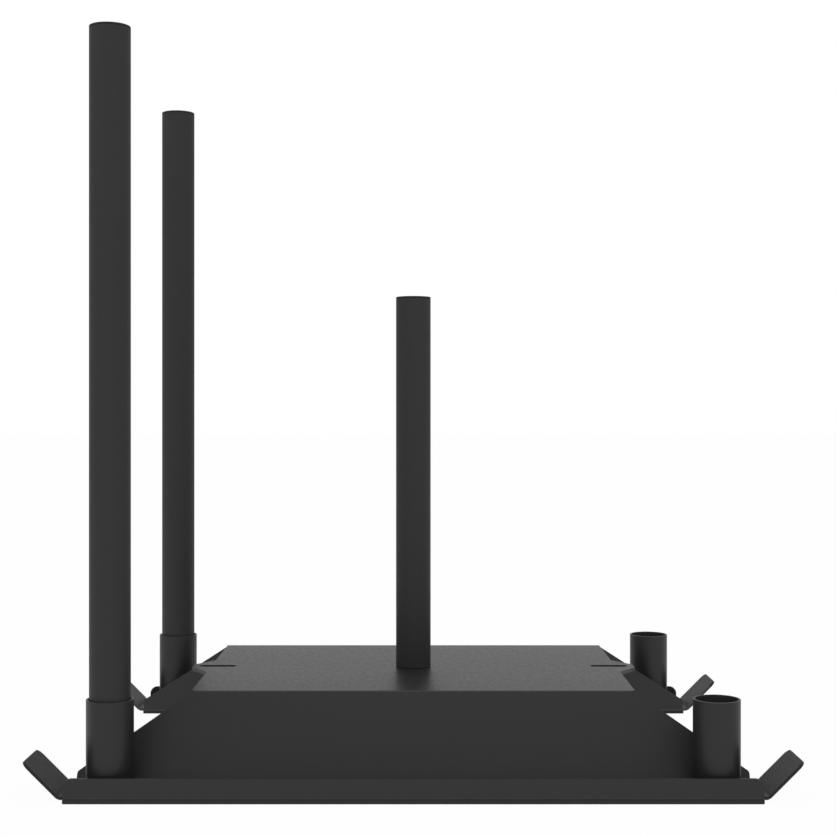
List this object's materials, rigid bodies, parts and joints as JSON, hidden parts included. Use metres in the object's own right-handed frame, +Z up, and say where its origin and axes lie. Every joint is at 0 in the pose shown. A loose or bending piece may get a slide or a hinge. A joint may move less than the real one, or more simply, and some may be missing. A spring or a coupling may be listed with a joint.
{
  "type": "weight sled",
  "caption": "Low steel weight sled with leaning side panels on upturned runners, upright pole sleeves, lift-out push poles and a post for weight plates.",
  "frame": {"origin": "on the ground under the middle of the sled", "axes": "+X along the runners towards the front, with the empty pole sleeves; +Y to the left as seen by the person who pushes; +Z up"},
  "size_m": [0.97, 0.6414, 0.9729],
  "materials": {
    "coated_steel": "dark grey powder coat with a fine texture, satin",
    "pole_steel": "dark grey powder coat, satin",
    "skid_plastic": "dark grey plastic, matt",
    "cap_plastic": "black moulded plastic, matt",
    "plain_steel": "zinc-plated steel"
  },
  "bodies": {
    "sled": {"deck_plate": "coated_steel", "side_panel_left": "coated_steel", "side_panel_right": "coated_steel", "runner_left": "coated_steel", "runner_right": "coated_steel", "skid_strip_left": "skid_plastic", "skid_strip_right": "skid_plastic", "sleeve_rear_left": "coated_steel", "sleeve_rear_right": "coated_steel", "sleeve_front_left": "coated_steel", "sleeve_front_right": "coated_steel", "weight_post": "pole_steel", "post_cap": "cap_plastic", "skid_screw_left_1": "plain_steel", "skid_screw_left_2": "plain_steel", "skid_screw_left_3": "plain_steel", "skid_screw_left_4": "plain_steel", "skid_screw_right_1": "plain_steel", "skid_screw_right_2": "plain_steel", "skid_screw_right_3": "plain_steel", "skid_screw_right_4": "plain_steel", "skid_nut_left_1": "plain_steel", "skid_nut_left_2": "plain_steel", "skid_nut_left_3": "plain_steel", "skid_nut_left_4": "plain_steel", "skid_nut_right_1": "plain_steel", "skid_nut_right_2": "plain_steel", "skid_nut_right_3": "plain_steel", "skid_nut_right_4": "plain_steel"},
    "push_pole_left": {"push_pole_left": "pole_steel", "pole_cap_left": "cap_plastic", "pole_foot_left": "cap_plastic"},
    "push_pole_right": {"push_pole_right": "pole_steel", "pole_cap_right": "cap_plastic", "pole_foot_right": "cap_plastic"}
  },
  "joints": [
    {"name": "pole_left_lift", "type": "slide", "parent": "sled", "child": "push_pole_left", "axis": [0, 0, 1], "range_m": [0, 0.12]},
    {"name": "pole_right_lift", "type": "slide", "parent": "sled", "child": "push_pole_right", "axis": [0, 0, 1], "range_m": [0, 0.12]}
  ]
}
